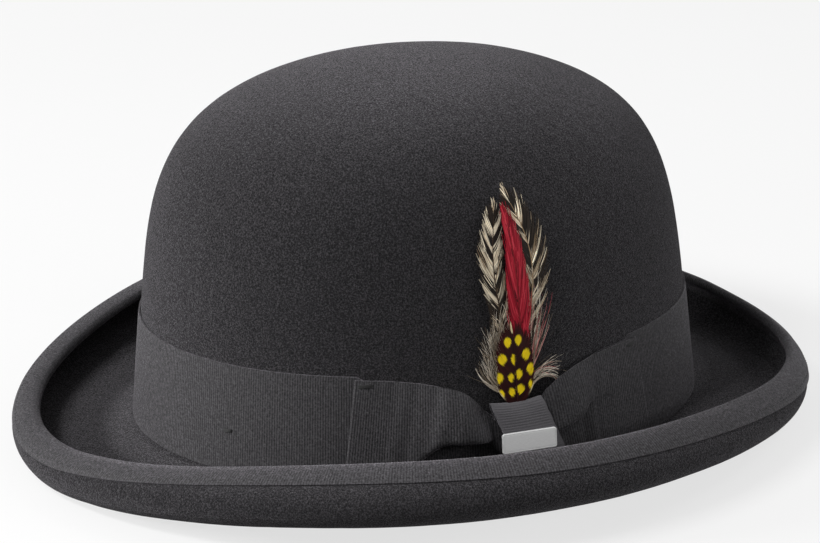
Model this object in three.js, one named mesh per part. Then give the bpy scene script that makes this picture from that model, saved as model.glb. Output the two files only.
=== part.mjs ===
// A bowler hat: stiff felt body with a curled brim, ribbon trim, leather sweatband, lining and feathers.
//
// Millimetres, +Z up. The hat stands on the front and back of its brim at z = 0. -Y is the front, +X is the
// wearer's left, where the bow is. Angles go round the hat in degrees from the front towards the bow, so the
// bow is near 90 and the back is 180. "Offset" is the distance outwards from the felt's outer face, so the
// layers inside the hat have negative offsets. "Rise" is the height above the foot of the crown.

import * as THREE from 'three';
import { mergeVertices } from 'three/addons/utils/BufferGeometryUtils.js';

// ---------------------------------------------------------------- driving dimensions

const clearance = 0.3; // between neighbouring pieces
const ringSteps = 60; // steps round every full ring

// Crown: an oval dome, square shouldered, slightly narrower at the top.
const crownHalfLength = 105;
const crownHalfWidth = 87.1;
const crownFoot = 9.2;
const crownHeight = 128.8;
const shoulderSquareness = 6.43;
const shoulderRoundness = 2.17;
const crownTaper = 0.119;
const crownRows = 12;
const footRound = 1.5;

// Felt and the cloth and leather layers.
const feltThickness = 2.4;
const ribbonThickness = 0.65;
const liningThickness = 0.5;
const sweatbandThickness = 1.2;

// Brim: its reach past the crown, the height of its underside and the curl, at the front and at the sides.
const reachFront = 42.9;
const reachSide = 51;
const reachCorner = 1.2; // extra reach at the front, sides and back over the corners
const reachLead = 1.27; // the front reaches this much further than the mean, and the back as much less
const undersideMean = 5.2;
const undersideDip = 4.46; // the underside is this much lower at the front and back, and higher at the sides
const undersideCorner = 0.72;
const curlReachFront = 8.5;
const curlReachSide = 32;
const curlRiseFront = 9;
const curlRiseSide = 13.1;
const curlLead = 1; // the curl rises this much less at the front, and more at the back
const curlTurnFront = 77;
const curlTurnSide = 56;
const curlTurnLead = 12.8; // degrees more turn at the front, and less at the back
const brimFootSlope = -0.2;
const restPadSink = 0.6; // the lowest part of the brim is flattened by this much where the hat stands

// Ribbon trim and the thread that tacks it.
const bindingWidth = 10.5;
const threadWidth = 0.9;
const threadThickness = 0.5;
const bandTop = 39.3;
const bandBottom = 1.7;
const bandNeckTop = 23; // the band is drawn down to this behind the knot, so that the felt shows above it

// Bow: where its ends, its pinch and its knot lie round the hat.
const bowFront = 58;
const bowBack = 131.5;
const pinchFront = 88.5;
const pinchBack = 109;
const pinchTop = 26.2;
const pinchBottom = 13;
const bowFlatness = 0.3; // how flat the loop's face is, from 1 for a round one to 0
const bowEndDepth = 1.8;
const knotTop = 28;
const knotBottom = 7.6;
const knotFront = 89.8;
const knotBack = 102.6;
const knotSlant = 0.25; // degrees towards the back for each millimetre down

// Offsets of the layers at the bow, from the band outwards.
const bandFace = clearance + ribbonThickness;
const stemBack = bandFace + 0.45;
const stemThickness = 1.4;
const knotWall = 0.6;
const knotInnerFace = stemBack + stemThickness + clearance;
const pinchInnerFace = knotInnerFace + knotWall + clearance;
const pinchOuterFace = pinchInnerFace + 2.5;
const knotOuterFace = pinchOuterFace + clearance + knotWall;

// Plate on the knot.
const plateWidth = 21;
const plateHeight = 7.2;
const plateThickness = 0.8;
const plateAngle = 97.9;
const plateRise = 13.9;
const plateLean = 0.09; // upward part of the way it faces, as the crown leans in

// Feather mount.
const featherAngle = 96.8;
const stemBottom = 6;
const wrapBottom = 28.9;
const wrapTop = 34;
const featherThickness = 0.6;

// Sweatband and lining.
const sweatbandHeight = 48;
const reedHeight = 5;
const liningBottom = 7;
const liningSeamRow = 8; // the crown row where the side of the lining meets its tip
const innerSeamAngle = 180;

// ---------------------------------------------------------------- the hat's curves

const radians = (degrees) => THREE.MathUtils.degToRad(degrees);

/** Plan radius of the crown's foot at an angle. */
function ovalRadius(angle) {
  const along = Math.cos(radians(angle)) / crownHalfLength;
  const across = Math.sin(radians(angle)) / crownHalfWidth;
  return 1 / Math.hypot(along, across);
}

/** How much the crown narrows at a fraction of its height. */
function crownScale(fraction) {
  const h = THREE.MathUtils.clamp(fraction, 0, 1);
  const shoulder = (1 - h ** shoulderSquareness) ** (1 / shoulderRoundness);
  return shoulder * (1 - crownTaper * h);
}

/** Section point [radius, height] on the layer of the crown at an offset from the felt's outer face. */
function crownSection(angle, fraction, offset) {
  const radius = (ovalRadius(angle) + offset) * crownScale(fraction);
  return [radius, crownFoot + fraction * (crownHeight + offset)];
}

/** A point in space from an angle round the hat, a radius and a height. */
function around(angle, [radius, height]) {
  const a = radians(angle);
  return new THREE.Vector3(radius * Math.sin(a), -radius * Math.cos(a), height);
}

/** A point over the crown's side, from an angle, a rise and an offset. */
function overCrown(angle, rise, offset) {
  return around(angle, crownSection(angle, rise / crownHeight, offset));
}

/** Fractions of the crown's height, close together at the shoulder. */
function crownFractions() {
  const fractions = [];
  for (let i = 0; i < crownRows; i++) {
    const turn = (Math.PI / 2) * (i / crownRows) ** 1.9;
    fractions.push(Math.sin(turn) ** (2 / shoulderSquareness));
  }
  return fractions;
}

/** The brim's curve at an angle: its flat part and the ellipse that its edge curls along. */
function brimCurve(angle) {
  const side = Math.sin(radians(angle)) ** 2;
  const lead = Math.cos(radians(angle));
  const corner = Math.cos(radians(4 * angle));
  const mix = (front, atSide) => front * (1 - side) + atSide * side;
  const pad = restPadSink * THREE.MathUtils.smoothstep(Math.abs(lead), 0.94, 0.985);
  const reach = mix(reachFront, reachSide) + reachCorner * corner + reachLead * lead;
  const low = undersideMean - undersideDip * (1 - 2 * side) - undersideCorner * corner - pad;
  const curlReach = mix(curlReachFront, curlReachSide);
  return {
    start: ovalRadius(angle) - feltThickness + footRound,
    end: ovalRadius(angle) + reach - curlReach,
    low,
    slope: brimFootSlope * (1 - side),
    curlReach,
    curlRise: mix(curlRiseFront, curlRiseSide) - curlLead * lead,
    turn: radians(mix(curlTurnFront, curlTurnSide) + curlTurnLead * lead),
  };
}

/** Underside point and upward normal of the brim's flat part, 0 at the crown and 1 where the curl starts. */
function flatPoint(brim, t) {
  const span = brim.end - brim.start;
  const foot = crownFoot - feltThickness;
  const drop = brim.low - foot;
  const height = foot + drop * (3 * t ** 2 - 2 * t ** 3) + brim.slope * span * (t - 2 * t ** 2 + t ** 3);
  const slope = (drop * (6 * t - 6 * t ** 2)) / span + brim.slope * (1 - 4 * t + 3 * t ** 2);
  const length = Math.hypot(1, slope);
  return { point: [brim.start + span * t, height], normal: [-slope / length, 1 / length] };
}

/** Outer point and inward normal of the curl, 0 at its lowest point and 1 at the brim's edge. */
function curlPoint(brim, t) {
  const turn = -Math.PI / 2 + (brim.turn + Math.PI / 2) * t;
  const [c, s] = [Math.cos(turn), Math.sin(turn)];
  const length = Math.hypot(c / brim.curlReach, s / brim.curlRise);
  return {
    point: [brim.end + brim.curlReach * c, brim.low + brim.curlRise * (1 + s)],
    normal: [-c / brim.curlReach / length, -s / brim.curlRise / length],
  };
}

/** Moves a section point along its normal. */
function lifted({ point, normal }, distance) {
  return [point[0] + normal[0] * distance, point[1] + normal[1] * distance];
}

/** The part of the curl, from 0 to 1, that lies a distance back from the brim's edge. */
function curlFraction(brim, distance) {
  const steps = 40;
  let length = 0;
  let last = curlPoint(brim, 1).point;
  for (let i = steps - 1; i >= 0; i--) {
    const next = curlPoint(brim, i / steps).point;
    const step = Math.hypot(next[0] - last[0], next[1] - last[1]);
    length += step;
    if (length >= distance) return (i + (length - distance) / step) / steps;
    last = next;
  }
  return 0;
}

/** Parts of the curl for the felt's rows. The last four are the binding's too, so their faces stay parallel. */
function curlFractions(brim) {
  const bound = curlFraction(brim, bindingWidth);
  return [...spread(0, bound, 3).slice(1, -1), ...spread(bound, 1, 3)];
}

// ---------------------------------------------------------------- mesh helpers

/**
 * Joins loops of points into one closed surface. A closed run of loops makes a ring. An open run is capped at
 * each end with a fan round the given end point, or round the middle of the loop. Seen along the run, the
 * loops go anticlockwise.
 */
function skin(loops, { closed = false, ends = [] } = {}) {
  const count = loops[0].length;
  const points = loops.flat();
  const faces = [];
  const runs = closed ? loops.length : loops.length - 1;
  for (let i = 0; i < runs; i++) {
    const a = i * count;
    const b = ((i + 1) % loops.length) * count;
    for (let j = 0; j < count; j++) {
      const k = (j + 1) % count;
      faces.push(a + j, b + j, b + k, a + j, b + k, a + k);
    }
  }
  if (!closed) {
    const last = (loops.length - 1) * count;
    const [first, final] = [ends[0] ?? middle(loops[0]), ends[1] ?? middle(loops.at(-1))];
    points.push(first, final);
    for (let j = 0; j < count; j++) {
      const k = (j + 1) % count;
      faces.push(points.length - 2, j, k, points.length - 1, last + k, last + j);
    }
  }
  const geometry = new THREE.BufferGeometry().setFromPoints(points);
  geometry.setIndex(faces);
  geometry.computeVertexNormals();
  return geometry;
}

function middle(loop) {
  const sum = loop.reduce((total, point) => total.add(point), new THREE.Vector3());
  return sum.divideScalar(loop.length);
}

/** Angles for one full turn. */
function turnAngles() {
  return Array.from({ length: ringSteps }, (_, i) => (360 * i) / ringSteps);
}

/** A ring from a function that gives its section, anticlockwise with radius to the right and height up. */
function ring(sectionAt) {
  const loops = turnAngles().map((angle) => sectionAt(angle).map((point) => around(angle, point)));
  return skin(loops, { closed: true });
}

/** Numbers from low to high in equal steps. */
function spread(low, high, steps) {
  return Array.from({ length: steps + 1 }, (_, i) => low + ((high - low) * i) / steps);
}

/** A layer of the crown's wall between two rises, as a ring. */
function wallRing(bottom, top, innerOffset, outerOffset, steps) {
  const rises = spread(bottom, top, steps);
  return ring((angle) => {
    const at = (offset) => (rise) => crownSection(angle, rise / crownHeight, offset);
    return [...rises.map(at(outerOffset)), ...rises.toReversed().map(at(innerOffset))];
  });
}

/**
 * A patch over the crown's side. For each angle it has a loop of [rise, offset] points, anticlockwise when
 * seen from the front with offset to the right and rise up.
 */
function patch(angles, loopAt) {
  return skin(angles.map((angle) => loopAt(angle).map(([rise, offset]) => overCrown(angle, rise, offset))));
}

/** A bar of thread lying just clear of the face at an offset. */
function threadBar(fromAngle, toAngle, rise, faceOffset) {
  const inner = faceOffset + clearance;
  const outer = inner + threadThickness;
  const [low, high] = [rise - threadWidth / 2, rise + threadWidth / 2];
  return patch(spread(fromAngle, toAngle, 2), () => [
    [low, inner],
    [low, outer],
    [high, outer],
    [high, inner],
  ]);
}

// ---------------------------------------------------------------- felt body

/**
 * Crown and brim as one moulded shell. Each row is a full turn. The rows run from the top over the outside,
 * the brim and the rim, and back up the inside.
 */
function feltBody() {
  const fractions = crownFractions();
  const flatRows = spread(0.12, 1, 4);
  const curlRows = [0, 1, 2, 3, 4, 5];
  const brims = new Map(turnAngles().map((angle) => [angle, brimCurve(angle)]));
  const curlAt = (brim, row) => curlPoint(brim, curlFractions(brim)[row]);
  const underside = (brim, t) => onTable(flatPoint(brim, t).point);
  const rows = [
    ...fractions.slice(1).toReversed().map((h) => (angle) => crownSection(angle, h, 0)),
    (angle) => crownSection(angle, footRound / crownHeight, 0),
    ...flatRows.map((t) => (angle) => lifted(flatPoint(brims.get(angle), t), feltThickness)),
    ...curlRows.map((row) => (angle) => lifted(curlAt(brims.get(angle), row), feltThickness)),
    (angle) => rimPoint(brims.get(angle)),
    ...curlRows.toReversed().map((row) => (angle) => onTable(curlAt(brims.get(angle), row).point)),
    ...spread(0, 1, 6).toReversed().map((t) => (angle) => underside(brims.get(angle), t)),
    (angle) => [ovalRadius(angle) - feltThickness, crownFoot - feltThickness + footRound],
    ...fractions.slice(1).map((h) => (angle) => crownSection(angle, h, -feltThickness)),
  ];
  const loops = rows.map((row) => turnAngles().map((angle) => around(angle, row(angle))));
  const top = crownFoot + crownHeight;
  return skin(loops, {
    ends: [new THREE.Vector3(0, 0, top), new THREE.Vector3(0, 0, top - feltThickness)],
  });
}

/** The underside never goes below the table. */
function onTable([radius, height]) {
  return [radius, Math.max(height, 0)];
}

/** The rounded outermost point of the felt's edge. */
function rimPoint(brim) {
  const edge = curlPoint(brim, 1);
  const along = [edge.normal[1], -edge.normal[0]];
  const centre = lifted(edge, feltThickness / 2);
  return [centre[0] + (along[0] * feltThickness) / 2, centre[1] + (along[1] * feltThickness) / 2];
}

// ---------------------------------------------------------------- ribbon trim

/** Ribbon folded over the brim's edge. */
function brimBinding() {
  return ring((angle) => {
    const brim = brimCurve(angle);
    const rows = curlFractions(brim).slice(-4);
    const outside = (gap) => rows.map((t) => lifted(curlPoint(brim, t), -gap));
    const inside = (gap) => rows.map((t) => lifted(curlPoint(brim, t), feltThickness + gap)).toReversed();
    const edge = (gap) => {
      const reach = feltThickness / 2 + gap;
      const rim = rimPoint(brim);
      const centre = lifted(curlPoint(brim, 1), feltThickness / 2);
      return rim.map((value, i) => centre[i] + ((value - centre[i]) * reach) / (feltThickness / 2));
    };
    const far = clearance + ribbonThickness;
    return [
      ...outside(far),
      edge(far),
      ...inside(far),
      ...inside(clearance).toReversed(),
      edge(clearance),
      ...outside(clearance).toReversed(),
    ];
  });
}

/** Ribbon round the foot of the crown. Its joined ends are drawn together behind the knot. */
function hatBand() {
  const topAt = (angle) => {
    const before = THREE.MathUtils.smoothstep(angle, bowFront + 4.5, knotFront);
    const after = 1 - THREE.MathUtils.smoothstep(angle, knotBack, bowBack - 3.5);
    return THREE.MathUtils.lerp(bandTop, bandNeckTop, (before * after) ** 1.3);
  };
  return ring((angle) => {
    const rises = spread(bandBottom, topAt(angle), 2);
    const at = (offset) => (rise) => crownSection(angle, rise / crownHeight, offset);
    return [...rises.map(at(bandFace)), ...rises.toReversed().map(at(clearance))];
  });
}

/** The bow's flat loop of ribbon: full height at its ends, gathered to a narrow neck at the knot. */
function bowLoop() {
  const neckSpan = { front: 22, back: 17 };
  const neckAt = (angle) => {
    const before = THREE.MathUtils.smoothstep(angle, pinchFront - neckSpan.front, pinchFront);
    const after = 1 - THREE.MathUtils.smoothstep(angle, pinchBack, pinchBack + neckSpan.back);
    return Math.min(before, after);
  };
  const endAt = (angle) => {
    const fromEnd = Math.min(angle - bowFront, bowBack - angle);
    return THREE.MathUtils.smoothstep(fromEnd, -0.5, 5);
  };
  const flatInner = bandFace + clearance;
  return patch([...spread(bowFront, pinchFront, 12), ...spread(pinchFront + 4, bowBack, 15)], (angle) => {
    const neck = neckAt(angle);
    const off = THREE.MathUtils.smoothstep(neck, 0.5, 0.95); // how far the loop stands off the band
    const top = THREE.MathUtils.lerp(bandTop - 0.9, pinchTop, neck ** 1.6);
    const bottom = THREE.MathUtils.lerp(bandBottom + 0.6, pinchBottom, neck ** 1.6);
    const inner = THREE.MathUtils.lerp(flatInner, pinchInnerFace, off);
    const endDepth = (bowEndDepth / 2) * (1 + endAt(angle));
    const fullness = endDepth + neck * 1.1 + Math.sin(Math.PI * neck) * 2.2;
    const outer = Math.min(inner + fullness, pinchOuterFace + (1 - neck) * 4);
    const swell = (across) => THREE.MathUtils.lerp(inner, outer, Math.sin(Math.PI * across) ** bowFlatness);
    const edges = spread(0.08, 0.92, 6);
    return [
      [bottom, inner],
      ...edges.map((across) => [THREE.MathUtils.lerp(bottom, top, across), swell(across)]),
      [top, inner],
    ];
  });
}

/** Ribbon wrapped round the bow's neck. */
function bowKnot() {
  const halfHeight = (knotTop - knotBottom) / 2;
  const halfDepth = (knotOuterFace - knotInnerFace) / 2;
  const centre = [(knotTop + knotBottom) / 2, (knotInnerFace + knotOuterFace) / 2];
  const corner = 0.35; // how square the wrap is
  const loops = spread(0, 360, 20).slice(0, -1).map((turn) => {
    const [c, s] = [Math.cos(radians(turn)), Math.sin(radians(turn))];
    const squared = (value) => Math.sign(value) * Math.abs(value) ** corner;
    const at = (wall) => (angle) => {
      const rise = centre[0] + (halfHeight - wall) * squared(s);
      const offset = centre[1] + (halfDepth - wall) * squared(c);
      return overCrown(angle + knotSlant * (knotTop - rise), rise, offset);
    };
    const angles = spread(knotFront, knotBack, 4);
    return [...angles.toReversed().map(at(0)), ...angles.map(at(knotWall))];
  });
  return skin(loops, { closed: true });
}

/** Blank plate with round corners, in its own frame: width along X, height along Y. */
function knotPlate() {
  const round = 0.9;
  const bevel = 0.2;
  const [w, h] = [plateWidth / 2 - bevel, plateHeight / 2 - bevel];
  const shape = new THREE.Shape();
  shape.absarc(w - round, h - round, round, 0, Math.PI / 2);
  shape.absarc(-w + round, h - round, round, Math.PI / 2, Math.PI);
  shape.absarc(-w + round, -h + round, round, Math.PI, 1.5 * Math.PI);
  shape.absarc(w - round, -h + round, round, 1.5 * Math.PI, 2 * Math.PI);
  return weld(new THREE.ExtrudeGeometry(shape, {
    depth: plateThickness - 2 * bevel,
    bevelSize: bevel,
    bevelThickness: bevel,
    bevelSegments: 1,
    curveSegments: 3,
  }));
}

/** Turns a plate's own frame so that it faces out of the crown at an angle. */
function facing(angle, lean) {
  const out = around(angle, [1, lean]).normalize();
  const across = new THREE.Vector3(0, 0, 1).cross(out).normalize();
  const up = out.clone().cross(across);
  return new THREE.Matrix4().makeBasis(across, up, out);
}

/** Shares the vertices of a geometry whose faces meet. */
function weld(geometry) {
  geometry.deleteAttribute('normal');
  geometry.deleteAttribute('uv');
  const welded = mergeVertices(geometry, 1e-4);
  welded.computeVertexNormals();
  return welded;
}

// ---------------------------------------------------------------- feather mount

/**
 * One feather as a thin plate that follows the crown. Its middle line goes from the base to the tip with a
 * sideways bend, in millimetres round the hat from the mount's own angle. Its width swells to halfWidth at
 * the part "fullest" of its length.
 */
function feather({ bottom, top, base, tip, bend, halfWidth, fullest, offset }) {
  const perDegree = (Math.PI / 180) * crownHalfWidth * 0.93;
  const widthAt = (t) => {
    const rise = t < fullest ? t / fullest : (1 - t) / (1 - fullest);
    return 0.5 + halfWidth * Math.sin((Math.PI / 2) * rise) ** 0.8;
  };
  const loops = spread(0, 1, 9).map((t) => {
    const centre = THREE.MathUtils.lerp(base, tip, t) + bend * Math.sin(Math.PI * t ** 1.4);
    const rise = THREE.MathUtils.lerp(bottom, top, t);
    const at = (side, lift) => overCrown(featherAngle + (centre + side) / perDegree, rise, offset + lift);
    const half = widthAt(t);
    return [
      at(half, 0),
      at(half, featherThickness * 0.6),
      at(0, featherThickness),
      at(-half, featherThickness * 0.6),
      at(-half, 0),
    ];
  });
  return skin(loops);
}

const featherLayer = (number) => bandFace + 0.6 + number * (featherThickness + clearance);

const fluff = { bottom: 35, halfWidth: 3.8, fullest: 0.6, offset: featherLayer(0) };
const longFeather = { bottom: 35, base: 1 };
const feathers = {
  fluff_front: { ...fluff, base: -2, top: 55, tip: -10, bend: -3 },
  fluff_back: { ...fluff, base: 2, top: 50, tip: 13, bend: 3 },
  barred_feather_front: {
    ...longFeather, top: 101, tip: 1.5, bend: -8, halfWidth: 5.2, fullest: 0.7, offset: featherLayer(1),
  },
  barred_feather_back: {
    ...longFeather, top: 99, tip: 5, bend: 9.5, halfWidth: 6, fullest: 0.6, offset: featherLayer(2),
  },
  red_feather: {
    ...longFeather, top: 97, tip: 0.5, bend: 1, halfWidth: 4.4, fullest: 0.4, offset: featherLayer(3),
  },
  spotted_feather: {
    bottom: 29, top: 53, base: -1, tip: 0, bend: 0, halfWidth: 7.2, fullest: 0.5, offset: featherLayer(4),
  },
};

/** Flat quill that goes down behind the knot. */
function featherStem() {
  const half = 1.3;
  const loops = spread(stemBottom, wrapBottom - clearance, 4).map((rise, i) => {
    const width = i === 0 ? half * 0.5 : half;
    const at = (side, offset) => overCrown(featherAngle + side, rise, offset);
    const [low, high] = [stemBack, stemBack + stemThickness];
    return [at(width, low), at(width, high), at(-width, high), at(-width, low)];
  });
  return skin(loops);
}

/** Thread wound round the quills just above the knot. */
function featherWrap() {
  const halfWidth = 2.2;
  const halfDepth = (featherLayer(4) - clearance - stemBack) / 2;
  const centre = stemBack + halfDepth;
  const loops = spread(wrapBottom, wrapTop, 3).map((rise, i, all) => {
    const full = i === 0 || i === all.length - 1 ? 0.86 : 1;
    return spread(0, 360, 10).slice(0, -1).map((turn) => {
      const side = -halfWidth * full * Math.cos(radians(turn));
      const offset = centre + halfDepth * full * Math.sin(radians(turn));
      return overCrown(featherAngle + side, rise, offset);
    }).toReversed();
  });
  return skin(loops);
}

// ---------------------------------------------------------------- inside the hat

const liningOuter = -feltThickness - clearance;
const liningInner = liningOuter - liningThickness;
const sweatbandOuter = liningInner - clearance;
const sweatbandInner = sweatbandOuter - sweatbandThickness;

/** Leather band against the head, sewn in at the foot of the crown. */
function sweatband() {
  return wallRing(-1.2, sweatbandHeight, sweatbandInner, sweatbandOuter, 2);
}

/** Stiff strip between the felt and the sweatband's sewn edge. */
function sweatbandReed() {
  return wallRing(0.2, reedHeight, liningInner, liningOuter, 1);
}

/** Side of the lining, up to the seam with its tip. */
function liningSide() {
  const heights = [liningBottom / crownHeight, ...crownFractions().slice(1, liningSeamRow + 1)];
  return ring((angle) => {
    const at = (offset) => (h) => crownSection(angle, h, offset);
    return [...heights.map(at(liningOuter)), ...heights.toReversed().map(at(liningInner))];
  });
}

/** Oval top of the lining. */
function liningTip() {
  const fractions = crownFractions().slice(liningSeamRow + 1);
  const seam = THREE.MathUtils.lerp(crownFractions()[liningSeamRow], fractions[0], 0.15);
  const rows = [seam, ...fractions];
  const loopAt = (h, offset) => turnAngles().map((angle) => around(angle, crownSection(angle, h, offset)));
  const loops = [
    ...rows.toReversed().map((h) => loopAt(h, liningOuter)),
    ...rows.map((h) => loopAt(h, liningInner)),
  ];
  const top = crownFoot + crownHeight;
  return skin(loops, {
    ends: [new THREE.Vector3(0, 0, top + liningOuter), new THREE.Vector3(0, 0, top + liningInner)],
  });
}

/** Tape over the join of the sweatband's ends. */
function sweatbandSeamTape() {
  const halfAngle = 2.4;
  const outer = sweatbandInner - clearance;
  const inner = outer - 0.5;
  return patch(spread(innerSeamAngle - halfAngle, innerSeamAngle + halfAngle, 1), () =>
    skinLoop(spread(13, sweatbandHeight - 1, 3), inner, outer),
  );
}

/** Small bow sewn over the foot of that join: two triangular loops and a waist. */
function sweatbandBow() {
  const halfAngle = 6;
  const outer = sweatbandInner - clearance;
  const inner = outer - 1.1;
  const middleRise = 6.5;
  return patch(spread(innerSeamAngle - halfAngle, innerSeamAngle + halfAngle, 8), (angle) => {
    const away = Math.abs(angle - innerSeamAngle) / halfAngle;
    const half = 1.4 + 2.6 * Math.sqrt(away);
    return skinLoop([middleRise - half, middleRise + half], inner, outer);
  });
}

/** Loop of a patch between two offsets along the given rises. */
function skinLoop(rises, inner, outer) {
  return [...rises.map((rise) => [rise, outer]), ...rises.toReversed().map((rise) => [rise, inner])];
}

// ---------------------------------------------------------------- the hat

const cloth = (color) => new THREE.MeshStandardMaterial({ color, roughness: 0.95, metalness: 0 });
const felt = cloth(0x3c3a3d);
const ribbon = cloth(0x454446);
const thread = cloth(0x1c1b1d);
const satin = new THREE.MeshStandardMaterial({ color: 0x17161a, roughness: 0.45, metalness: 0 });
const leather = new THREE.MeshStandardMaterial({ color: 0x2a211c, roughness: 0.6, metalness: 0 });
const plateMetal = new THREE.MeshStandardMaterial({ color: 0xc9c9cc, roughness: 0.35, metalness: 0.9 });
const quill = cloth(0xd8cdb4);
const featherColors = {
  fluff_front: 0x7a6a58,
  fluff_back: 0x7a6a58,
  barred_feather_front: 0x8a7455,
  barred_feather_back: 0x9a8058,
  red_feather: 0xa01828,
  spotted_feather: 0x4a1c18,
};

const hat = new THREE.Group();

function add(name, geometry, material) {
  const mesh = new THREE.Mesh(geometry, material);
  mesh.name = name;
  hat.add(mesh);
  return mesh;
}

add('felt_body', feltBody(), felt);
add('brim_binding', brimBinding(), ribbon);
add('hat_band', hatBand(), ribbon);
add('bow_loop', bowLoop(), ribbon);
add('bow_knot', bowKnot(), ribbon);

const plate = add('knot_plate', knotPlate(), plateMetal);
plate.position.copy(overCrown(plateAngle, plateRise, knotOuterFace + clearance + 0.1));
plate.quaternion.setFromRotationMatrix(facing(plateAngle, plateLean));

const loopFace = bandFace + clearance + bowEndDepth * 0.75;
add('front_loop_tack', threadBar(59.9, 63, 36.2, loopFace), thread);
add('back_loop_tack', threadBar(127.3, 129.4, 36.2, loopFace), thread);
add('band_tack', threadBar(30.2, 32.2, 15.5, bandFace), thread);

for (const [name, shape] of Object.entries(feathers)) add(name, feather(shape), cloth(featherColors[name]));
add('feather_stem', featherStem(), quill);
add('feather_wrap', featherWrap(), thread);

add('sweatband', sweatband(), leather);
add('sweatband_reed', sweatbandReed(), quill);
add('sweatband_seam_tape', sweatbandSeamTape(), ribbon);
add('sweatband_bow', sweatbandBow(), ribbon);
add('lining_side', liningSide(), satin);
add('lining_tip', liningTip(), satin);

// The brim leads at the front, so the hat moves back by that much to put its middle over the origin.
hat.position.y = reachLead;

export default hat;
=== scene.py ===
"""Looks of a bowler hat: wool felt, grosgrain trim, a feather mount, and the leather and satin inside.

Geometry is worked out in millimetres, in the frame's axes: +Z up, -Y the front, +X the wearer's left, where
the bow is. Angles go round the hat in degrees from the front towards the bow. "Offset" is the distance
outwards from the felt's outer face and "rise" the height above the foot of the crown.
"""

import math

import bpy
import numpy as np
from mathutils import Matrix, Vector, noise


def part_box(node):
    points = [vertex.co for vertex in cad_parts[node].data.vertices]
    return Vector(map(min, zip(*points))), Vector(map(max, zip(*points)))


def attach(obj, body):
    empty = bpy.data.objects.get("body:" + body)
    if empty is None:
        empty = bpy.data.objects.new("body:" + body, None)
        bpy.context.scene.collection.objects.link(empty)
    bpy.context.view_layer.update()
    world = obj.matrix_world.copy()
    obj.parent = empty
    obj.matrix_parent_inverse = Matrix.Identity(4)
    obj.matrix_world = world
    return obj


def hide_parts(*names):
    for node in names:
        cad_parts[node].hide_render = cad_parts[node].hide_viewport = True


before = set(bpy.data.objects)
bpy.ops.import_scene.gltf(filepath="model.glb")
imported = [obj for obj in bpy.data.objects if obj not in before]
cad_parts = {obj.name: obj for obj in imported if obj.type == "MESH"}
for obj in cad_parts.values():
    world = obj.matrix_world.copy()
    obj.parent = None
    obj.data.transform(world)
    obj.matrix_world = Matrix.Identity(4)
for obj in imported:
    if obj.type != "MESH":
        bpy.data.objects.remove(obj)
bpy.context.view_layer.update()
MM = 0.001

# ---------------- driving dimensions, as in the CAD

felt_low, felt_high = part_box("felt_body")
band_low, band_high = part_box("hat_band")

MIDDLE_Y = (band_low.y + band_high.y) / 2 / MM
CROWN_HALF_LENGTH = 105
CROWN_HALF_WIDTH = 87.1
CROWN_FOOT = 9.2
CROWN_HEIGHT = felt_high.z / MM - CROWN_FOOT
SHOULDER_SQUARENESS = 6.43
SHOULDER_ROUNDNESS = 2.17
CROWN_TAPER = 0.119
FOOT_ROUND = 1.5
FELT = 2.4

REACH_FRONT, REACH_SIDE, REACH_CORNER, REACH_LEAD = 42.9, 51, 1.2, 1.27
UNDERSIDE_MEAN, UNDERSIDE_DIP, UNDERSIDE_CORNER = 5.2, 4.46, 0.72
CURL_REACH_FRONT, CURL_REACH_SIDE = 8.5, 32
CURL_RISE_FRONT, CURL_RISE_SIDE, CURL_LEAD = 9, 13.1, 1
CURL_TURN_FRONT, CURL_TURN_SIDE, CURL_TURN_LEAD = 77, 56, 12.8
BRIM_FOOT_SLOPE = -0.2
REST_PAD_SINK = 0.6

BINDING_WIDTH = 9.9
BAND_TOP = band_high.z / MM - CROWN_FOOT
BAND_BOTTOM = 0.9
BAND_NECK_TOP = 23  # the band is drawn down to this behind the knot

BOW_FRONT, BOW_BACK, BOW_WIDTH = 59, 131.4, 36.6
KNOT_TOP, KNOT_BOTTOM, KNOT_FRONT, KNOT_BACK, KNOT_SLANT = 28.1, 7.6, 89.8, 102.1, 0.23

FEATHER_ANGLE = 96.8
PER_DEGREE = math.radians(1) * CROWN_HALF_WIDTH * 0.93
# Yellow drops of the spotted feather: x and rise of the middle, half width and half height.
SPOTS = [(-3.1, 48.0, 1.25, 1.9), (0.6, 48.3, 1.2, 1.9)]
SPOTS += [(-5.1, 42.4, 1.55, 2.0), (3.0, 43.0, 1.45, 2.0), (-1.3, 41.8, 0.85, 2.0)]
SPOTS += [(-6.5, 36.2, 1.5, 1.9), (-2.5, 35.7, 0.95, 1.7), (0.3, 36.5, 1.15, 1.8), (4.4, 37.8, 1.55, 2.0)]
SPOTS += [(-6.2, 30.4, 1.35, 1.8), (-2.4, 30.7, 1.05, 1.6), (0.5, 31.3, 1.45, 1.7), (4.0, 32.6, 0.7, 1.5)]

RIBBON = 0.5  # thickness between the ribs
RIB_PITCH = 0.93
RIB_HEIGHT = 0.13
BINDING_GAP = 0.12  # between the felt and the binding


# ---------------- curves

def smoothstep(x, low, high):
    t = np.clip((np.asarray(x, float) - low) / (high - low), 0, 1)
    return t * t * (3 - 2 * t)


def window(x, low, full, last, high):
    """Rises from 0 at low to 1 at full, and falls from 1 at last to 0 at high."""
    return smoothstep(x, low, full) * (1 - smoothstep(x, last, high))


def swell(x, middle, width):
    return np.exp(-(((x - middle) / width) ** 2))


def mix(a, b, t):
    return a + (b - a) * t


def lengths(points):
    """Length along a path at each of its points."""
    return np.concatenate([[0], np.cumsum(np.linalg.norm(np.diff(points, axis=0), axis=1))])


def oval_radius(angle):
    """Plan radius of the crown's foot."""
    a = np.radians(angle)
    return 1 / np.hypot(np.cos(a) / CROWN_HALF_LENGTH, np.sin(a) / CROWN_HALF_WIDTH)


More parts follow.
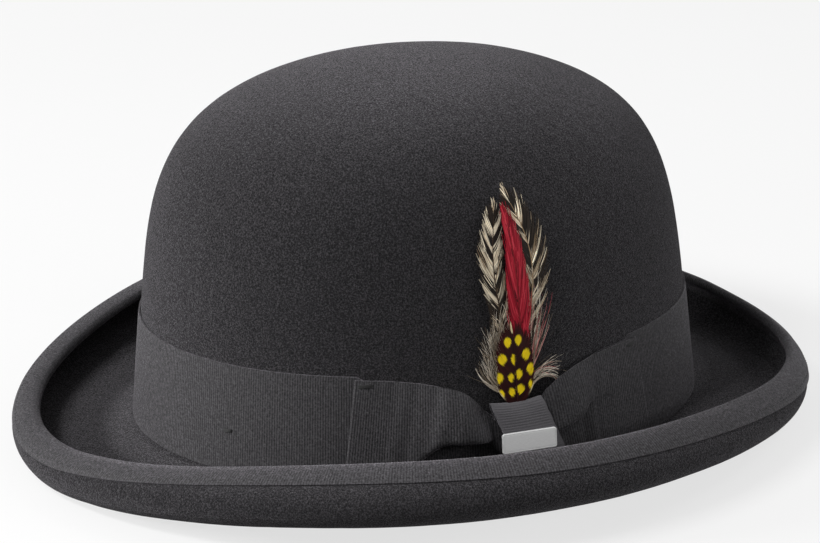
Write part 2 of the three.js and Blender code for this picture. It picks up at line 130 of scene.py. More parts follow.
def crown_scale(fraction):
    """How much the crown narrows at a fraction of its height."""
    h = np.clip(fraction, 0, 1)
    return (1 - h**SHOULDER_SQUARENESS) ** (1 / SHOULDER_ROUNDNESS) * (1 - CROWN_TAPER * h)


def around(angle, radius, height):
    """Points in space from angles, radii and heights."""
    a = np.radians(angle)
    return np.stack(np.broadcast_arrays(radius * np.sin(a), MIDDLE_Y - radius * np.cos(a), height), -1)


def layer(angle, rise, offset):
    """Radius and height of the crown's layer at an offset."""
    fraction = rise / CROWN_HEIGHT
    radius = (oval_radius(angle) + offset) * crown_scale(fraction)
    return radius, CROWN_FOOT + fraction * (CROWN_HEIGHT + offset)


def over_crown(angle, rise, offset):
    return around(angle, *layer(angle, rise, offset))


def crown_rises(rows):
    """Rises over the crown, close together at the shoulder, without the top itself."""
    turn = np.pi / 2 * (np.arange(rows) / rows) ** 1.9
    return CROWN_HEIGHT * np.sin(turn) ** (2 / SHOULDER_SQUARENESS)


class Brim:
    """The brim's section at each of some angles: a flat part and the ellipse that its edge curls along."""

    def __init__(self, angle):
        self.angle = angle
        side = np.sin(np.radians(angle)) ** 2
        lead = np.cos(np.radians(angle))
        corner = np.cos(np.radians(4 * angle))
        pad = REST_PAD_SINK * smoothstep(abs(lead), 0.94, 0.985)
        reach = mix(REACH_FRONT, REACH_SIDE, side) + REACH_CORNER * corner + REACH_LEAD * lead
        self.curl_reach = mix(CURL_REACH_FRONT, CURL_REACH_SIDE, side)
        self.curl_rise = mix(CURL_RISE_FRONT, CURL_RISE_SIDE, side) - CURL_LEAD * lead
        self.turn = np.radians(mix(CURL_TURN_FRONT, CURL_TURN_SIDE, side) + CURL_TURN_LEAD * lead)
        self.start = oval_radius(angle) - FELT + FOOT_ROUND
        self.end = oval_radius(angle) + reach - self.curl_reach
        self.low = UNDERSIDE_MEAN - UNDERSIDE_DIP * (1 - 2 * side) - UNDERSIDE_CORNER * corner - pad
        self.slope = BRIM_FOOT_SLOPE * (1 - side)

    def flat(self, t, lift):
        """Radius and height on the flat part, from 0 at the crown to 1 at the curl, above the underside."""
        span = self.end - self.start
        foot = CROWN_FOOT - FELT
        drop = self.low - foot
        height = foot + drop * (3 * t**2 - 2 * t**3) + self.slope * span * (t - 2 * t**2 + t**3)
        slope = drop * (6 * t - 6 * t**2) / span + self.slope * (1 - 4 * t + 3 * t**2)
        length = np.hypot(1, slope)
        return self.start + span * t - lift * slope / length, height + lift / length

    def curl(self, t, lift):
        """Radius and height on the curl, from 0 at its lowest point to 1 at the brim's edge."""
        turn = -np.pi / 2 + (self.turn + np.pi / 2) * t
        c, s = np.cos(turn), np.sin(turn)
        length = np.hypot(c / self.curl_reach, s / self.curl_rise)
        radius = self.end + self.curl_reach * c - lift * c / self.curl_reach / length
        return radius, self.low + self.curl_rise * (1 + s) - lift * s / self.curl_rise / length

    def rim(self, turn, half):
        """Radius and height round the felt's rounded edge: turn is 0 on the outside and 1 on the inside."""
        outer, inner = self.curl(1, FELT / 2 - half), self.curl(1, FELT / 2 + half)
        centre = self.curl(1, FELT / 2)
        out = [(o - i) / 2 for o, i in zip(outer, inner)]
        ahead = [-out[1], out[0]]
        c, s = np.cos(np.pi * turn), np.sin(np.pi * turn)
        return tuple(m + o * c + a * s for m, o, a in zip(centre, out, ahead))

    def curl_fraction(self, distance):
        """The part of the curl that lies a distance back from the brim's edge."""
        t = np.linspace(1, 0, 201)
        radius, height = Brim(self.angle[..., None]).curl(t, 0)
        steps = np.hypot(np.diff(radius), np.diff(height))
        length = np.concatenate([np.zeros(steps.shape[:-1] + (1,)), np.cumsum(steps, -1)], -1)
        flat = length.reshape(-1, length.shape[-1])
        found = [np.interp(distance, row, t) for row in flat]
        return np.array(found).reshape(self.angle.shape)


# ---------------- meshes

def build_mesh(name, points, quads, triangles=(), attributes=None, sharp=None):
    """An object from points in millimetres, smooth except over edges sharper than sharp degrees."""
    mesh = bpy.data.meshes.new(name)
    points = np.asarray(points, np.float32).reshape(-1, 3) * MM
    quads = np.asarray(quads, np.int32).reshape(-1, 4)
    triangles = np.asarray(triangles, np.int32).reshape(-1, 3)
    loops = np.concatenate([quads.ravel(), triangles.ravel()])
    starts = np.concatenate([np.arange(len(quads)) * 4, len(quads) * 4 + np.arange(len(triangles)) * 3])
    mesh.vertices.add(len(points))
    mesh.vertices.foreach_set("co", points.ravel())
    mesh.loops.add(len(loops))
    mesh.loops.foreach_set("vertex_index", loops)
    mesh.polygons.add(len(starts))
    mesh.polygons.foreach_set("loop_start", starts.astype(np.int32))
    mesh.update(calc_edges=True)
    mesh.shade_smooth()
    if sharp is not None:
        mesh.set_sharp_from_angle(angle=math.radians(sharp))
    for key, values in (attributes or {}).items():
        attribute = mesh.attributes.new(key, "FLOAT_VECTOR", "POINT")
        attribute.data.foreach_set("vector", np.asarray(values, np.float32).ravel())
    mesh.validate()
    thing = bpy.data.objects.new(name, mesh)
    bpy.context.scene.collection.objects.link(thing)
    return thing


def assign(piece, material, node=None, body="hat"):
    """Gives a piece its material and its body, and hides the CAD node that it stands for."""
    piece.data.materials.append(material)
    if node:
        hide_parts(node)
    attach(piece, body)


def grid_quads(rows, columns, wrap_rows=False, wrap_columns=False):
    """Quads of a grid of points numbered row by row."""
    i = np.arange(rows if wrap_rows else rows - 1)[:, None]
    j = np.arange(columns if wrap_columns else columns - 1)[None]
    below, right = (i + 1) % rows, (j + 1) % columns
    corners = [i * columns + j, below * columns + j, below * columns + right, i * columns + right]
    return np.stack([np.broadcast_to(c, (i.shape[0], j.shape[1])) for c in corners], -1).reshape(-1, 4)


def closed_mesh(name, *surfaces, sharp=None):
    """One piece of closed surfaces. Each has rings of points and a point at either end."""
    points, quads, triangles, base = [], [], [], 0
    for rings, ends in surfaces:
        rings = np.stack(rings)
        count, sides = rings.shape[:2]
        points += [rings.reshape(-1, 3), np.asarray(ends, float)]
        quads.append(grid_quads(count, sides, wrap_columns=True) + base)
        j = np.arange(sides)
        after = (j + 1) % sides
        tip = np.full(sides, count * sides)
        last = (count - 1) * sides
        fans = (tip, j, after), (tip + 1, last + after, last + j)
        triangles += [np.stack(fan, -1) + base for fan in fans]
        base += count * sides + 2
    return build_mesh(name, *map(np.concatenate, (points, quads, triangles)), sharp=sharp)


def surface_normals(points, wrap_rows=False, wrap_columns=False):
    """Unit normals of a grid of points, to the left of its rows as they go along its columns."""
    def slope(axis, wrap):
        if wrap:
            return np.roll(points, -1, axis) - np.roll(points, 1, axis)
        return np.gradient(points, axis=axis)
    normal = np.cross(slope(0, wrap_rows), slope(1, wrap_columns))
    return normal / np.maximum(np.linalg.norm(normal, axis=-1, keepdims=True), 1e-9)


def rib_profile(along):
    """Height of a rib, from 0 in the groove to 1 on its back."""
    return np.abs(np.cos(np.pi * along / RIB_PITCH)) ** 0.9


def ribbon(name, along, across, middle, closed=False, rib=RIB_HEIGHT, flip=1, thickness=RIBBON,
           painted_light=0.0):
    """
    A woven ribbon as a closed solid. along and across are its own lengths in millimetres, and middle gives
    the middle of its thickness for them. The ribs cross it and stand on both faces. Its colour can be
    lightened all over, a painted highlight for a face that stands in the light.
    """
    u, w = np.meshgrid(along, across, indexing="ij")
    points = middle(u, w)
    normal = surface_normals(points, wrap_rows=closed) * flip
    inside_edge = np.minimum(w - across[0], across[-1] - w)
    height = rib * rib_profile(u) * smoothstep(inside_edge, 0.15, 0.9) + 0.06 * (inside_edge < 0.2)
    half = (thickness / 2 + height)[..., None]
    loop = np.concatenate([points + normal * half, (points - normal * half)[:, ::-1]], 1)
    # the third value carries the painted highlight that lightens the colour
    weave_and_light = np.stack([u, w, np.full_like(u, painted_light)], -1)
    weave_and_light = np.concatenate([weave_and_light, weave_and_light[:, ::-1]], 1)
    rows, columns = loop.shape[:2]
    quads = grid_quads(rows, columns, wrap_rows=closed, wrap_columns=True)
    if flip < 0:
        quads = quads[:, ::-1]
    if not closed:
        ends = [end_quads(columns, 0, flip > 0), end_quads(columns, rows - 1, flip < 0)]
        quads = np.concatenate([quads, *ends])
    return build_mesh(name, loop, quads, attributes={"weave_and_light": weave_and_light.reshape(-1, 3)}, sharp=50)


def end_quads(columns, row, forward):
    """Quads that close a ribbon's cut end, between its two faces."""
    half = columns // 2
    j = np.arange(half - 1)
    base = row * columns
    quads = np.stack([base + j, base + j + 1, base + columns - 2 - j, base + columns - 1 - j], -1)
    return quads if forward else quads[:, ::-1]


def even_turn(ring, per_rib=4):
    """Angles evenly spaced along one turn of a ring, for a whole number of ribs, and the lengths there."""
    fine = np.linspace(0, 360, 2881)
    length = lengths(ring(fine))
    ribs = round(length[-1] / RIB_PITCH)
    share = np.arange(ribs * per_rib) / (ribs * per_rib)
    return np.interp(share * length[-1], length, fine), share * ribs * RIB_PITCH


def ripple(points, size, seed):
    """Smooth noise from -1 to 1 at points in millimetres, with features of about that size."""
    shift = Vector((seed * 7.3, seed * 3.1, seed * 5.7))
    flat = points.reshape(-1, 3) / size
    values = [noise.noise(Vector(p) + shift) for p in flat]
    return np.array(values).reshape(points.shape[:-1])


# ---------------- material helpers

class Nodes:
    """A material's node tree, with short ways to add to it."""

    def __init__(self, name, **sockets):
        self.material = bpy.data.materials.new(name)
        self.material.use_nodes = True
        self.tree = self.material.node_tree
        self.shader = self.tree.nodes["Principled BSDF"]
        for key, value in sockets.items():
            self.shader.inputs[key.replace("_", " ")].default_value = value

    def add(self, kind, inputs=(), **settings):
        node = self.tree.nodes.new(kind)
        for key, value in settings.items():
            setattr(node, key, value)
        for key, value in dict(inputs).items():
            if isinstance(value, bpy.types.NodeSocket):
                self.tree.links.new(value, node.inputs[key])
            else:
                node.inputs[key].default_value = value
        return node

    def link(self, output, name):
        self.tree.links.new(output, self.shader.inputs[name])

    def noise(self, vector, scale, detail=3, roughness=0.6):
        """Noise with features of 1 / scale metres."""
        settings = {"Vector": vector, "Scale": scale, "Detail": detail, "Roughness": roughness}
        return self.add("ShaderNodeTexNoise", settings).outputs["Fac"]

    def math(self, operation, a, b=0.0):
        return self.add("ShaderNodeMath", {0: a, 1: b}, operation=operation).outputs[0]

    def scaled(self, vector, factors):
        return self.add("ShaderNodeVectorMath", {0: vector, 1: factors}, operation="MULTIPLY").outputs[0]

    def ramp(self, value, *stops):
        """A colour ramp from (place, colour) stops."""
        node = self.add("ShaderNodeValToRGB", {"Fac": value})
        points = node.color_ramp.elements
        while len(points) < len(stops):
            points.new(0.5)
        for point, (position, colour) in zip(points, stops):
            point.position = position
            point.color = (*colour, 1)
        return node.outputs["Color"]

    def blend(self, share, a, b):
        """Colour output a with a share of colour b over it."""
        node = self.add("ShaderNodeMix", {"Factor": share, 6: a, 7: (*b, 1)}, data_type="RGBA")
        return node.outputs[2]

    def bump(self, height, distance, strength, under=None):
        inputs = {"Height": height, "Distance": distance, "Strength": strength}
        if under is not None:
            inputs["Normal"] = under
        return self.add("ShaderNodeBump", inputs).outputs["Normal"]

    def place(self):
        """Coordinates fixed to the piece, in metres."""
        return self.add("ShaderNodeTexCoord").outputs["Object"]

    def attribute(self, name):
        return self.add("ShaderNodeAttribute", attribute_name=name)


def grey(level):
    return (level, level, level)


def tinted(level):
    """The slightly purple grey of the dyed wool and ribbon."""
    return (level, level * 0.955, level * 1.03)


def wool_felt():
    """Brushed wool felt: fine matted fibres, slight mottling, soft sheen."""
    m = Nodes("wool_felt", Roughness=0.95, Specular_IOR_Level=0.083, Sheen_Roughness=0.5,
              Sheen_Tint=(0.86, 0.82, 0.88, 1))
    place = m.place()
    grain = m.noise(place, 1700, 4, 0.75)
    mottle = m.noise(place, 160)
    cloud = m.noise(place, 18, 2, 0.5)
    colour = m.ramp(grain, (0.34, tinted(0.0014)), (0.5, tinted(0.0152)), (0.66, tinted(0.072)))
    colour = m.blend(m.math("MULTIPLY", mottle, 0.35), colour, tinted(0.0152))
    colour = m.blend(m.math("MULTIPLY", cloud, 0.2), colour, tinted(0.022))
    m.link(colour, "Base Color")
    m.link(m.ramp(grain, (0.36, grey(0.06)), (0.5, grey(0.212)), (0.64, grey(0.38))), "Sheen Weight")
    fine = m.bump(grain, 0.0008, 0.8)
    m.link(m.bump(mottle, 0.0012, 0.25, fine), "Normal")
    return m.material


def grosgrain():
    """Ribbed ribbon: warp threads along it over cords across it, with painted shade in the grooves and
    painted light on the ribs' backs.
    """
    level = 0.033
    m = Nodes("grosgrain", Roughness=0.62, Specular_IOR_Level=0.24, Sheen_Roughness=0.4,
              Sheen_Tint=(0.97, 0.91, 1.0, 1))
    weave_and_light = m.attribute("weave_and_light").outputs["Vector"]
    split = m.add("ShaderNodeSeparateXYZ", {"Vector": weave_and_light})
    phase = m.math("MULTIPLY", split.outputs["X"], math.pi / RIB_PITCH)
    back = m.math("ABSOLUTE", m.math("COSINE", phase))
    thread = m.math("ABSOLUTE", m.math("SINE", m.math("MULTIPLY", split.outputs["Y"], math.pi / 0.28)))
    streaks = m.noise(m.scaled(weave_and_light, (0.9, 0.12, 1)), 1.0)
    # painted shade and light: the colour is darkest in the grooves between the ribs and lightest on their
    # backs
    colour = m.ramp(back, (0.0, tinted(level * 0.2)), (0.5, tinted(level * 0.85)), (1.0, tinted(level * 1.7)))
    colour = m.blend(m.math("MULTIPLY", streaks, 0.5), colour, tinted(level * 0.5))
    fuzz = m.noise(m.place(), 1300, 3, 0.7)
    colour = m.blend(m.ramp(fuzz, (0.5, grey(0.0)), (0.68, grey(0.6))), colour, tinted(level * 2.6))
    colour = m.blend(m.ramp(fuzz, (0.32, grey(0.7)), (0.46, grey(0.0))), colour, tinted(level * 0.15))
    # painted highlight: the third weave value lightens the colour, used for the knot's lit face
    colour = m.blend(m.math("MULTIPLY", split.outputs["Z"], 0.45), colour, tinted(level * 3.4))
    m.link(colour, "Base Color")
    m.link(m.ramp(fuzz, (0.34, grey(0.02)), (0.5, grey(0.165)), (0.66, grey(0.43))), "Sheen Weight")
    m.link(m.bump(thread, 0.00008, 0.6), "Normal")
    return m.material


def plate_metal():
    """Satin silver metal with a fine brushed grain along its width."""
    m = Nodes("plate_metal", Metallic=0.15, Roughness=0.34)
    streaks = m.noise(m.scaled(m.place(), (1, 1, 9)), 900, 2, 0.5)
    m.link(m.ramp(streaks, (0.3, grey(0.72)), (0.7, grey(0.80))), "Base Color")
    m.link(m.bump(streaks, 0.00004, 0.4), "Normal")
    return m.material


def leather():
    """Smooth dark brown leather with a fine pebbled grain."""
    m = Nodes("sweatband_leather", Roughness=0.46, Specular_IOR_Level=0.28)
    place = m.place()
    pores = m.add("ShaderNodeTexVoronoi", {"Vector": place, "Scale": 1100.0}).outputs["Distance"]
    cloud = m.noise(place, 60)
    m.link(m.ramp(cloud, (0.3, (0.014, 0.0085, 0.0063)), (0.7, (0.032, 0.020, 0.0147))), "Base Color")
    m.link(m.bump(pores, 0.0003, 0.3, m.bump(cloud, 0.0006, 0.15)), "Normal")
    return m.material


def satin():
    """Black satin: smooth, with a sheen and hairline threads."""
    m = Nodes("satin_lining", Roughness=0.36, Specular_IOR_Level=0.38, Anisotropic=0.5,
              Sheen_Weight=0.14, Sheen_Roughness=0.3)
    weft = m.noise(m.scaled(m.place(), (1, 1, 0.15)), 2500, 2, 0.5)
    m.link(m.ramp(weft, (0.3, (0.0055, 0.0052, 0.007)), (0.7, (0.014, 0.013, 0.0166))), "Base Color")
    m.link(m.bump(weft, 0.00005, 0.4), "Normal")
    return m.material


def plain(name, colour, roughness):
    return Nodes(name, Base_Color=(*colour, 1), Roughness=roughness).material


# ---------------- the felt body

def felt_body(material):
    turns = np.arange(0, 360, 1.0)
    brim = Brim(turns)
    flat = np.linspace(0.1, 1, 16)
    curl = np.linspace(0.05, 1, 26)
    edge = np.linspace(0, 1, 9)[1:-1]
    rows = [over_crown(turns, rise, 0) for rise in crown_rises(64)[:0:-1]]
    rows += [over_crown(turns, rise, 0) for rise in (3.2, 2.2)]
    foot_radius, foot_height = brim.flat(0.1, FELT)
    for t in (0.25, 0.5, 0.75):
        radius = mix(oval_radius(turns), foot_radius, t**2)
        rows.append(around(turns, radius, mix(CROWN_FOOT + 2.2, foot_height, 1 - (1 - t) ** 2)))
    rows += [around(turns, *brim.flat(t, FELT)) for t in flat]
    rows += [around(turns, *brim.curl(t, FELT)) for t in curl]
    rows += [around(turns, *brim.rim(t, FELT / 2)) for t in edge[::-1]]
    rows += [around(turns, *brim.curl(t, 0)) for t in curl[::-1]]
    rows += [around(turns, *brim.flat(t, 0)) for t in np.linspace(0, 1, 18)[::-1]]
    rows += [around(turns, oval_radius(turns) - FELT, CROWN_FOOT - FELT + FOOT_ROUND)]
    rows += [over_crown(turns, rise, -FELT) for rise in crown_rises(30)[1:]]
    rows = np.stack(rows)
    outward = surface_normals(rows, wrap_columns=True)
    rows = rows + outward * (0.22 * ripple(rows, 38, 1) + 0.05 * ripple(rows, 7, 2))[..., None]
    rows[..., 2] = np.maximum(rows[..., 2], 0)
    top = CROWN_FOOT + CROWN_HEIGHT
    piece = closed_mesh("felt_shell", (rows, [(0, MIDDLE_Y, top), (0, MIDDLE_Y, top - FELT)]))
    assign(piece, material, "felt_body")


# ---------------- ribbon trim

def hat_band(material):
    angles, along = even_turn(lambda a: over_crown(a, 20, 0.5))
    full_width = 38
    selvedge = np.array([0, 0.18, 0.5, 0.95])
    across = np.concatenate([selvedge, np.linspace(1.6, 36.4, 10), full_width - selvedge[::-1]])
    across = across * (BAND_TOP - BAND_BOTTOM) / full_width
    drawn = window(angles, BOW_FRONT + 4.5, KNOT_FRONT, KNOT_BACK, BOW_BACK - 3.5)
    under_bow = window(angles, BOW_FRONT + 0.8, BOW_FRONT + 3, BOW_BACK - 3, BOW_BACK - 0.8)
    tops = (mix(BAND_TOP, BAND_NECK_TOP, drawn**1.3) - 1.6 * under_bow)[:, None]

    def middle(u, w):
        angle = np.broadcast_to(angles[:, None], u.shape)
        lift = 0.28 + 0.10 * ripple(over_crown(angle, w, 0), 30, 5)
        return over_crown(angle, BAND_BOTTOM + w * (tops - BAND_BOTTOM) / across[-1], lift + RIBBON / 2)

    piece = ribbon("band_ribbon", along, across, middle, closed=True)
    assign(piece, material, "hat_band")


def brim_binding(material):
    angles, along = even_turn(lambda a: around(a, *Brim(a).rim(0.5, FELT / 2)), 3)
    brim = Brim(angles)
    start = brim.curl_fraction(BINDING_WIDTH)
    gap = BINDING_GAP + RIBBON / 2
    pucker = ripple(np.stack([along, along * 0, along * 0], -1), 7, 9)
    outside = np.array([0, 0.04, 0.15, 0.42, 0.72, 1])
    rim = np.linspace(0, 1, 5)[1:-1]
    rows = [around(angles, *brim.curl(mix(start, 1, t), -gap)) for t in outside]
    rows += [around(angles, *brim.rim(t, FELT / 2 + gap)) for t in rim]
    for t in outside[::-1]:
        loose = (1 - t) ** 3 * (0.18 + 0.22 * pucker)
        back = mix(start, 1, t) + (1 - t) ** 2 * 0.02 * pucker
        rows.append(around(angles, *brim.curl(back, FELT + gap + loose)))
    grid = np.stack(rows, 1)
    steps = np.linalg.norm(np.diff(grid, axis=1), axis=-1).mean(0)
    across = np.concatenate([[0], np.cumsum(steps)])
    piece = ribbon("binding_ribbon", along, across, lambda u, w: grid, closed=True, flip=-1)
    assign(piece, material, "brim_binding")


# ---------------- bow

def spline(x, *points):
    """A smooth curve through (place, value) points."""
    places, values = np.array(points, float).T
    slopes = np.gradient(values, places)
    x = np.clip(np.asarray(x, float), places[0], places[-1])
    i = np.clip(np.searchsorted(places, x, side="right") - 1, 0, len(places) - 2)
    width = places[i + 1] - places[i]
    t = (x - places[i]) / width
    h = t * t * (3 - 2 * t)
    bend = slopes[i] * t * (1 - t) ** 2 - slopes[i + 1] * t * t * (1 - t)
    return values[i] * (1 - h) + values[i + 1] * h + width * bend


def bow_top(angle):
    """Rise of the bow's top edge."""
    return spline(angle, (59, 38.4), (68.5, 37.9), (79, 35.4), (84, 32.7), (87, 29.0), (89.3, 25.2),
                  (91.5, 22.6), (100, 22.6), (102, 25.8), (104, 29.2), (106.6, 32.2), (112.4, 35.3),
                  (120, 37.6), (131.4, 38.2))


def bow_front(angle, down):
    """
    Rise and offset of the bow's front layer, down millimetres below its top edge. Towards the knot the layer
    is gathered: its face ends in a fold, goes back up behind itself and down again close to the band.
    """
    top = bow_top(angle)
    drawn = spline(angle, (59, 1), (84, 1), (90, 0.76), (101, 0.76), (106, 1), (131.4, 1))
    down = down * drawn
    fold = spline(angle, (59, 2), (67, 3), (73, 8), (78.5, 14.6), (84, 15.4), (92, 14.6), (102, 13.4),
                  (105, 14.2), (109.8, 16.8), (112.8, 18.8), (114.6, 20.9), (117, 21.2))
    end = spline(angle, (59, 1.8), (74, 2.5), (79, 9), (84, 13), (103, 13), (106, 7), (111, 2), (131.4, 1.7))
    gathered = window(angle, 61, 73, 112.6, 116.6)
    face = top - fold
    back = np.clip((BOW_WIDTH * drawn - face - fold + end) / 2, 0, face - 0.8) * gathered
    rise = top - down + 2 * np.clip(down - face, 0, back)
    s = np.clip(down / face, 0, 1)
    early = angle - 4.2 * s * (1 - smoothstep(angle, 91, 98))
    level = spline(early, (54, 2.5), (64, 2.6), (70, 3.2), (76, 4.8), (80, 6.1), (83.4, 6.3), (85.2, 5.3),
                   (86.6, 3.2), (88.2, 2.3), (91, 2.9), (94, 4.6), (102, 4.9), (104.5, 6.0), (109, 6.4),
                   (113, 4.9), (117, 3.7), (123, 3.5), (131.4, 3.3))
    bulge = spline(angle, (59, 0), (66, 0.3), (74, 1.6), (80, 3.4), (86, 3.2), (88.5, 1.6), (91, 0.5),
                   (102, 0.3), (105, 0.8), (110, 1.6), (113, 1.5), (117, 0.8), (124, 0.3), (131.4, 0))
    shape = np.where(s < 0.9, 1 - ((s - 0.9) / 0.9) ** 2, 1 - 0.4 * ((s - 0.9) / 0.1) ** 2)
    ridge = 0.6 * swell(angle, 79 + 7 * s, 4)
    groove = 0.4 * swell(angle, 117.8 - s, 1.1) + 0.6 * swell(angle, 104.4 - s, 0.9)
    wavy = 0.25 * gathered * np.sin(0.9 * angle + 4.2 * s) * np.sin(0.37 * angle + 1)
    offset = level + bulge * shape + ridge * (1 - 0.3 * s) - groove + wavy
    close = spline(angle, (59, 2.5), (84, 2.6), (90, 3.6), (94, 4.6), (102, 4.9), (106, 3.3), (111, 3.6),
                   (116, 3.5), (131.4, 3.2))
    close = mix(offset, close, gathered)
    return rise, mix(offset, close, np.clip((down - face) / np.maximum(back, 0.05), 0, 1))


def softened(values):
    """Values smoothed along the last axis, in three passes."""
    for _ in range(3):
        first, last = (2 * values[:, a] - values[:, b] for a, b in ((0, 1), (-1, -2)))
        padded = np.concatenate([first[:, None], values, last[:, None]], 1)
        values = (padded[:, :-2] + 2 * padded[:, 1:-1] + padded[:, 2:]) / 4
    return values


def bow_loop(material):
    """The bow's ribbon: out along the front, round a tight fold at each end, and back along the band."""
    fine = np.linspace(BOW_FRONT, BOW_BACK, 600)
    length = lengths(over_crown(fine, 20, 4))
    ribs = round(length[-1] / RIB_PITCH)
    along = np.arange(ribs * 4 + 1) * RIB_PITCH / 4
    angle = np.interp(along / along[-1] * length[-1], length, fine)[:, None]
    down = np.linspace(0, BOW_WIDTH, 123)[None]
    rise, offset = (softened(values)[:, ::2] for values in bow_front(angle, down))
    down = down[:, ::2]
    tilt = spline(angle, (59, 1.1), (75, 0.2), (90, -0.5), (103, -1.4), (110, -1.7), (120, -0.6),
                  (131.5, -1.05))
    front = over_crown(angle + tilt * (rise - 20) / 17, rise, offset)

    back_angle = np.linspace(BOW_BACK, BOW_FRONT, 61)[:, None]
    neck = window(back_angle, 78, 91, 102, 112)
    back_top = bow_top(back_angle) - 1.5 * window(back_angle, 66, 74, 112, 122)
    back_rise = back_top - down / BOW_WIDTH * (back_top - mix(1.8, 15, smoothstep(neck, 0, 0.6)))
    back_tilt = spline(back_angle, (59, 1.1), (90, 0), (131.4, -1.05))
    back = over_crown(back_angle + back_tilt * (back_rise - 20) / 17, back_rise, 1.55 + 2 * neck)

    def end_fold(first, last, out):
        """Half a turn from the end of one layer to the start of the next."""
        turn = np.linspace(0, np.pi, 7)[1:-1, None, None]
        radius = np.linalg.norm(first - last, axis=-1, keepdims=True) / 2
        return (first + last) / 2 + (first - last) / 2 * np.cos(turn) + out * radius * np.sin(turn)

    ahead, behind = front[-1] - front[-5], front[0] - front[4]
    ahead, behind = (v / np.linalg.norm(v, axis=-1, keepdims=True) for v in (ahead, behind))
    folds = end_fold(front[-1], back[0], ahead), end_fold(back[-1], front[0], behind)
    grid = np.concatenate([front, folds[0], back, folds[1]])
    extra = np.linalg.norm(np.diff(grid[len(front) - 1:], axis=0), axis=-1).mean(1)
    along = np.concatenate([along, along[-1] + np.cumsum(extra)])
    strength = np.zeros(len(grid))
    strength[:len(front)] = RIB_HEIGHT
    piece = ribbon("bow_ribbon", along, down[0], lambda u, w: grid[:, ::-1], closed=True,
                   rib=strength[:, None], thickness=0.42)
    assign(piece, material, "bow_loop")


def bow_knot(material):
    """Ribbon wrapped once round the bow's neck, with its ribs level."""
    half_height, half_depth = (KNOT_TOP - KNOT_BOTTOM) / 2 - 0.4, 1.85
    turn = np.linspace(0, 2 * np.pi, 1441)

    def squared(v):
        return np.sign(v) * np.abs(v) ** 0.5

    rise = (KNOT_TOP + KNOT_BOTTOM) / 2 + half_height * squared(-np.sin(turn))
    depth = 5.25 + half_depth * squared(np.cos(turn))
    length = lengths(np.stack([rise, depth], -1))
    ribs = round(length[-1] / RIB_PITCH)
    along = np.arange(ribs * 4) * RIB_PITCH / 4
    place = along / (ribs * RIB_PITCH) * length[-1]
    rise, depth = np.interp(place, length, rise)[:, None], np.interp(place, length, depth)[:, None]
    width = KNOT_BACK - KNOT_FRONT
    share = np.concatenate([[0, 0.008, 0.02], np.linspace(0.045, 0.955, 20), [0.98, 0.992, 1]])[None]
    hollow = 4 * share * (1 - share)
    front = smoothstep(depth, 5, 6.8)
    bent = rise - 0.7 * hollow * smoothstep(rise, 21, 27)
    out = depth + front * (0.35 * hollow + 0.12 * np.sin(9 * share + rise * 0.2) - 0.11 * (rise - 17.5))
    edge = 0.12 * np.sin(rise * 1.3) * (share - 0.5)
    angle = KNOT_FRONT + width * share + KNOT_SLANT * (KNOT_TOP - rise) + edge
    grid = over_crown(angle, bent, out)
    # the knot's colour is lightened as a painted highlight for its lit face
    piece = ribbon("knot_ribbon", along, share[0] * width * 1.6, lambda u, w: grid, closed=True,
                   thickness=0.45, painted_light=1.9)
    assign(piece, material, "bow_knot")


def knot_plate(material):
    """A blank satin plate with round corners and a plain sunk line round its face."""
    width, height, thickness, corner = 21, 7.2, 0.8, 0.9
    arc = np.linspace(0, np.pi / 2, 7)

    def outline(inset, depth):
        loop = []
        for k, (sx, sy) in enumerate([(1, 1), (-1, 1), (-1, -1), (1, -1)]):
            x = sx * (width / 2 - corner) + (corner - inset) * np.cos(arc + k * np.pi / 2)
            y = sy * (height / 2 - corner) + (corner - inset) * np.sin(arc + k * np.pi / 2)
            loop.append(np.stack([x, y, np.full(len(arc), depth)], -1))
        return np.concatenate(loop)

    rows = [outline(0.80, thickness), outline(0.72, thickness - 0.1), outline(0.6, thickness - 0.1),
            outline(0.52, thickness), outline(0.18, thickness), outline(0.06, thickness - 0.05),
            outline(0, thickness - 0.16), outline(0, 0.14), outline(0.12, 0)]
    angle, rise, offset, lean, roll = 97.9, 13.9, 8.05, 0.16, math.radians(-2.5)
    place = over_crown(angle, rise, offset)
    a = math.radians(angle)
    out = Vector((math.sin(a), -math.cos(a), lean)).normalized()
    right = Vector((0, 0, 1)).cross(out).normalized()
    up = out.cross(right)
    c, s = math.cos(roll), math.sin(roll)
    axes = np.array([right * c + up * s, up * c - right * s, out])
    ends = np.array([(0, 0, thickness), (0, 0, 0)]) @ axes + place
    piece = closed_mesh("plate", ([row @ axes + place for row in rows], ends), sharp=40)
    assign(piece, material, "knot_plate")


def stitch(path, thickness):
    """One stitch along a path: the rings of a six-sided tube with thin ends, and its two end points."""
    ahead = np.gradient(path, axis=0)
    ahead /= np.linalg.norm(ahead, axis=1, keepdims=True)
    out = path - np.array([0, MIDDLE_Y, 0])
    out[:, 2] = 0
    side = np.cross(ahead, out)
    side /= np.linalg.norm(side, axis=1, keepdims=True)
    out = np.cross(side, ahead)
    turn = (np.arange(6) / 6 * 2 * np.pi)[None, :, None]
    radius = thickness * np.sin(np.linspace(0.15, 0.85, len(path)) * np.pi) ** 0.5
    ring = np.cos(turn) * side[:, None] + np.sin(turn) * out[:, None]
    return path[:, None] + radius[:, None, None] * ring, path[[0, -1]]


def tacks(material):
    """The small tacking stitches at the corners of the bow and on the band."""
    for node, first, last, rise, offset in (("front_loop_tack", 60.5, 64.1, 36.2, 3.0),
                                            ("back_loop_tack", 127.3, 129.6, 36.2, 3.85),
                                            ("band_tack", 30.2, 32.2, 15.5, 1.2)):
        share = np.linspace(0, 1, 9)
        runs = []
        for strand in (-0.36, 0, 0.36):
            dip = 0.35 * (1 - np.sin(np.pi * share))
            path = over_crown(mix(first, last, share), rise + strand + 0.25 * share, offset - dip)
            runs.append(stitch(path, 0.27))
        assign(closed_mesh(node + "_thread", *runs), material, node)


